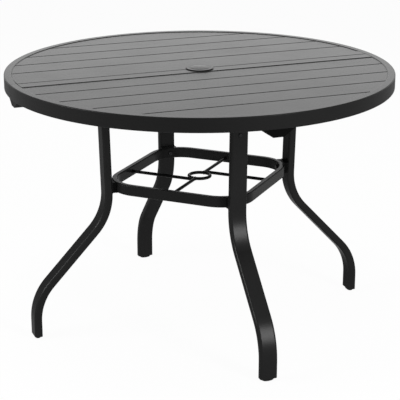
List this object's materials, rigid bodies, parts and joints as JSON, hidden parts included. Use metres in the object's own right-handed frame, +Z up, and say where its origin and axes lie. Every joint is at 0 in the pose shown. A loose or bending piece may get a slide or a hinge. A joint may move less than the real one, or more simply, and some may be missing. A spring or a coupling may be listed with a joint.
{
  "type": "round outdoor dining table",
  "caption": "Round slatted metal patio dining table with a split top, a capped umbrella hole, bent tube legs and a lower square ring that guides the umbrella pole.",
  "frame": {"origin": "On the floor under the middle of the table top.", "axes": "+X along the slats and the seam of the top, -Y to the front in the picture, +Z up."},
  "size_m": [1.067, 1.0668, 0.7289],
  "materials": {
    "dark_coat": "charcoal powder coat with a satin sheen",
    "black_plastic": "moulded black plastic with a fine grain",
    "bolt_steel": "dull dark zinc plate"
  },
  "bodies": {
    "table": {"rim_front": "dark_coat", "rim_back": "dark_coat", "seam_bar_front": "dark_coat", "seam_bar_back": "dark_coat", "slat_panel_front": "dark_coat", "slat_panel_back": "dark_coat", "panel_stiffener_front_left": "dark_coat", "panel_stiffener_front_right": "dark_coat", "panel_stiffener_back_left": "dark_coat", "panel_stiffener_back_right": "dark_coat", "beam_right": "dark_coat", "beam_back": "dark_coat", "beam_left": "dark_coat", "beam_front": "dark_coat", "leg_right": "dark_coat", "leg_back": "dark_coat", "leg_left": "dark_coat", "leg_front": "dark_coat", "leg_hanger_right": "dark_coat", "leg_hanger_back": "dark_coat", "leg_hanger_left": "dark_coat", "leg_hanger_front": "dark_coat", "stretcher_ring": "dark_coat", "ring_saddle_right": "dark_coat", "ring_saddle_back": "dark_coat", "ring_saddle_left": "dark_coat", "ring_saddle_front": "dark_coat", "leg_pad_right": "dark_coat", "leg_pad_back": "dark_coat", "leg_pad_left": "dark_coat", "leg_pad_front": "dark_coat", "umbrella_ring": "dark_coat", "ring_rod_right": "dark_coat", "ring_rod_back": "dark_coat", "ring_rod_left": "dark_coat", "ring_rod_front": "dark_coat", "umbrella_grommet": "black_plastic", "foot_glide_right": "black_plastic", "foot_glide_back": "black_plastic", "foot_glide_left": "black_plastic", "foot_glide_front": "black_plastic", "beam_bolts": "bolt_steel", "hanger_bolts": "bolt_steel", "hanger_nuts": "bolt_steel", "leg_bolts": "bolt_steel", "leg_nuts": "bolt_steel", "ring_bolts": "bolt_steel", "ring_nuts": "bolt_steel"},
    "cap": {"umbrella_cap": "black_plastic"}
  },
  "joints": [
    {"name": "cap_lift", "type": "slide", "parent": "table", "child": "cap", "axis": [0, 0, 1], "range_m": [0, 0.06]}
  ]
}
